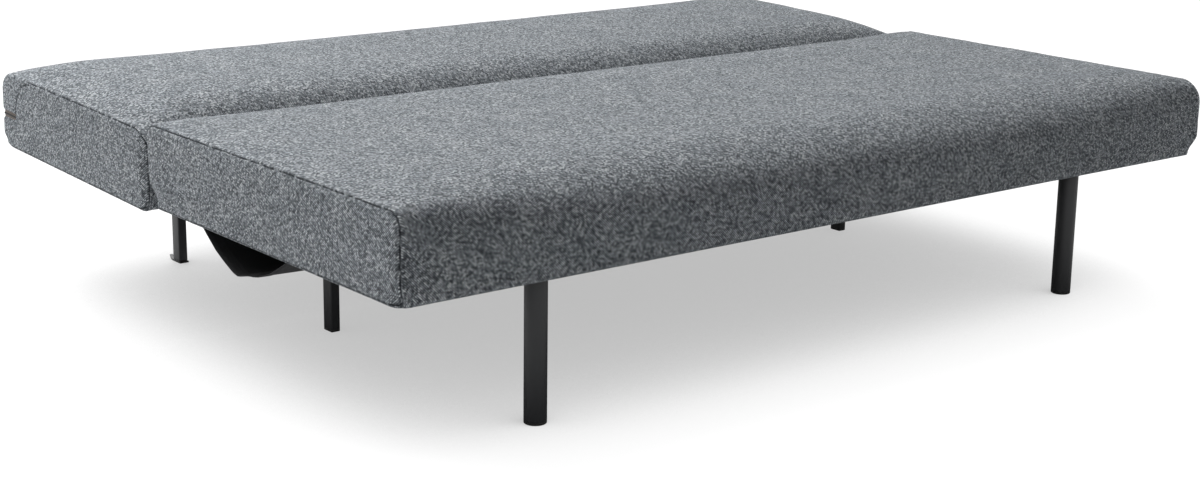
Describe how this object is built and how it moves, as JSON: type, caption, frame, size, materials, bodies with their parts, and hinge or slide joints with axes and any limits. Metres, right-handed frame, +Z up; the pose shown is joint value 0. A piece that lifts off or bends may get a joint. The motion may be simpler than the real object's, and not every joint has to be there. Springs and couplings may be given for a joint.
{
  "type": "click-clack sofa bed",
  "caption": "Click-clack sofa bed unfolded flat: wide fabric-covered seat and back blocks on slim black steel legs, the back folding up on ratchet hinges.",
  "frame": {"origin": "on the floor under the middle of the sofa bed's bounding box", "axes": "+X along the sofa to the sitter's left, which is the right when looking at its front, +Y from the front edge to the rear edge, +Z up; stored unfolded flat as a bed"},
  "size_m": [2, 1.507, 0.445],
  "materials": {
    "cover_cloth": "blue-grey mottled twill upholstery cloth over foam",
    "black_cloth": "black non-woven cloth",
    "black_steel": "black powder coat",
    "zinc_steel": "zinc-plated pressed steel",
    "spring_steel": "drawn spring wire",
    "black_plastic": "moulded black plastic",
    "zip_tape": "brownish grey zip tape"
  },
  "bodies": {
    "root": {"seat_upholstery": "cover_cloth", "seat_frame": "black_steel", "seat_spring_1": "spring_steel", "seat_spring_2": "spring_steel", "seat_spring_3": "spring_steel", "seat_spring_4": "spring_steel", "seat_spring_5": "spring_steel", "seat_dust_cover": "black_cloth", "under_seat_sling": "black_cloth", "sling_strip_front": "black_cloth", "sling_strip_rear": "black_cloth", "front_leg_left": "black_steel", "front_leg_right": "black_steel", "front_leg_glide_left": "black_plastic", "front_leg_glide_right": "black_plastic", "front_leg_plate_left": "black_steel", "front_leg_plate_right": "black_steel", "middle_leg_left": "black_steel", "middle_leg_right": "black_steel", "middle_leg_cap_left": "black_plastic", "middle_leg_cap_right": "black_plastic", "hinge_arm_left": "zinc_steel", "hinge_arm_right": "zinc_steel", "pivot_pin_left": "zinc_steel", "pivot_pin_right": "zinc_steel", "pivot_washer_left": "zinc_steel", "pivot_washer_right": "zinc_steel", "pawl_spring_left": "spring_steel", "pawl_spring_right": "spring_steel", "arm_bolt_left_upper": "zinc_steel", "arm_bolt_left_lower": "zinc_steel", "arm_bolt_right_upper": "zinc_steel", "arm_bolt_right_lower": "zinc_steel"},
    "back": {"back_upholstery": "cover_cloth", "back_frame": "black_steel", "back_spring_1": "spring_steel", "back_spring_2": "spring_steel", "back_spring_3": "spring_steel", "back_spring_4": "spring_steel", "back_spring_5": "spring_steel", "back_dust_cover": "black_cloth", "back_zip": "zip_tape", "ratchet_left": "zinc_steel", "ratchet_right": "zinc_steel", "rear_leg_left": "black_steel", "rear_leg_right": "black_steel", "rear_foot_left": "black_plastic", "rear_foot_right": "black_plastic"},
    "pawl_left": {"pawl_left": "zinc_steel", "pawl_pin_left": "zinc_steel"},
    "pawl_right": {"pawl_right": "zinc_steel", "pawl_pin_right": "zinc_steel"}
  },
  "joints": [
    {"name": "back_fold", "type": "hinge", "parent": "root", "child": "back", "pos_m": [0, 0.2168, 0.34692], "axis": [1, 0, 0], "range_deg": [0, 75]},
    {"name": "pawl_left_lift", "type": "hinge", "parent": "root", "child": "pawl_left", "pos_m": [-0.6609, 0.1918, 0.30362], "axis": [-1, 0, 0], "range_deg": [0, 14], "stiffness_Nm_per_rad": 0.05, "springref_deg": -17.19},
    {"name": "pawl_right_lift", "type": "hinge", "parent": "root", "child": "pawl_right", "pos_m": [0.6609, 0.1918, 0.30362], "axis": [-1, 0, 0], "range_deg": [0, 14], "stiffness_Nm_per_rad": 0.05, "springref_deg": -17.19}
  ]
}
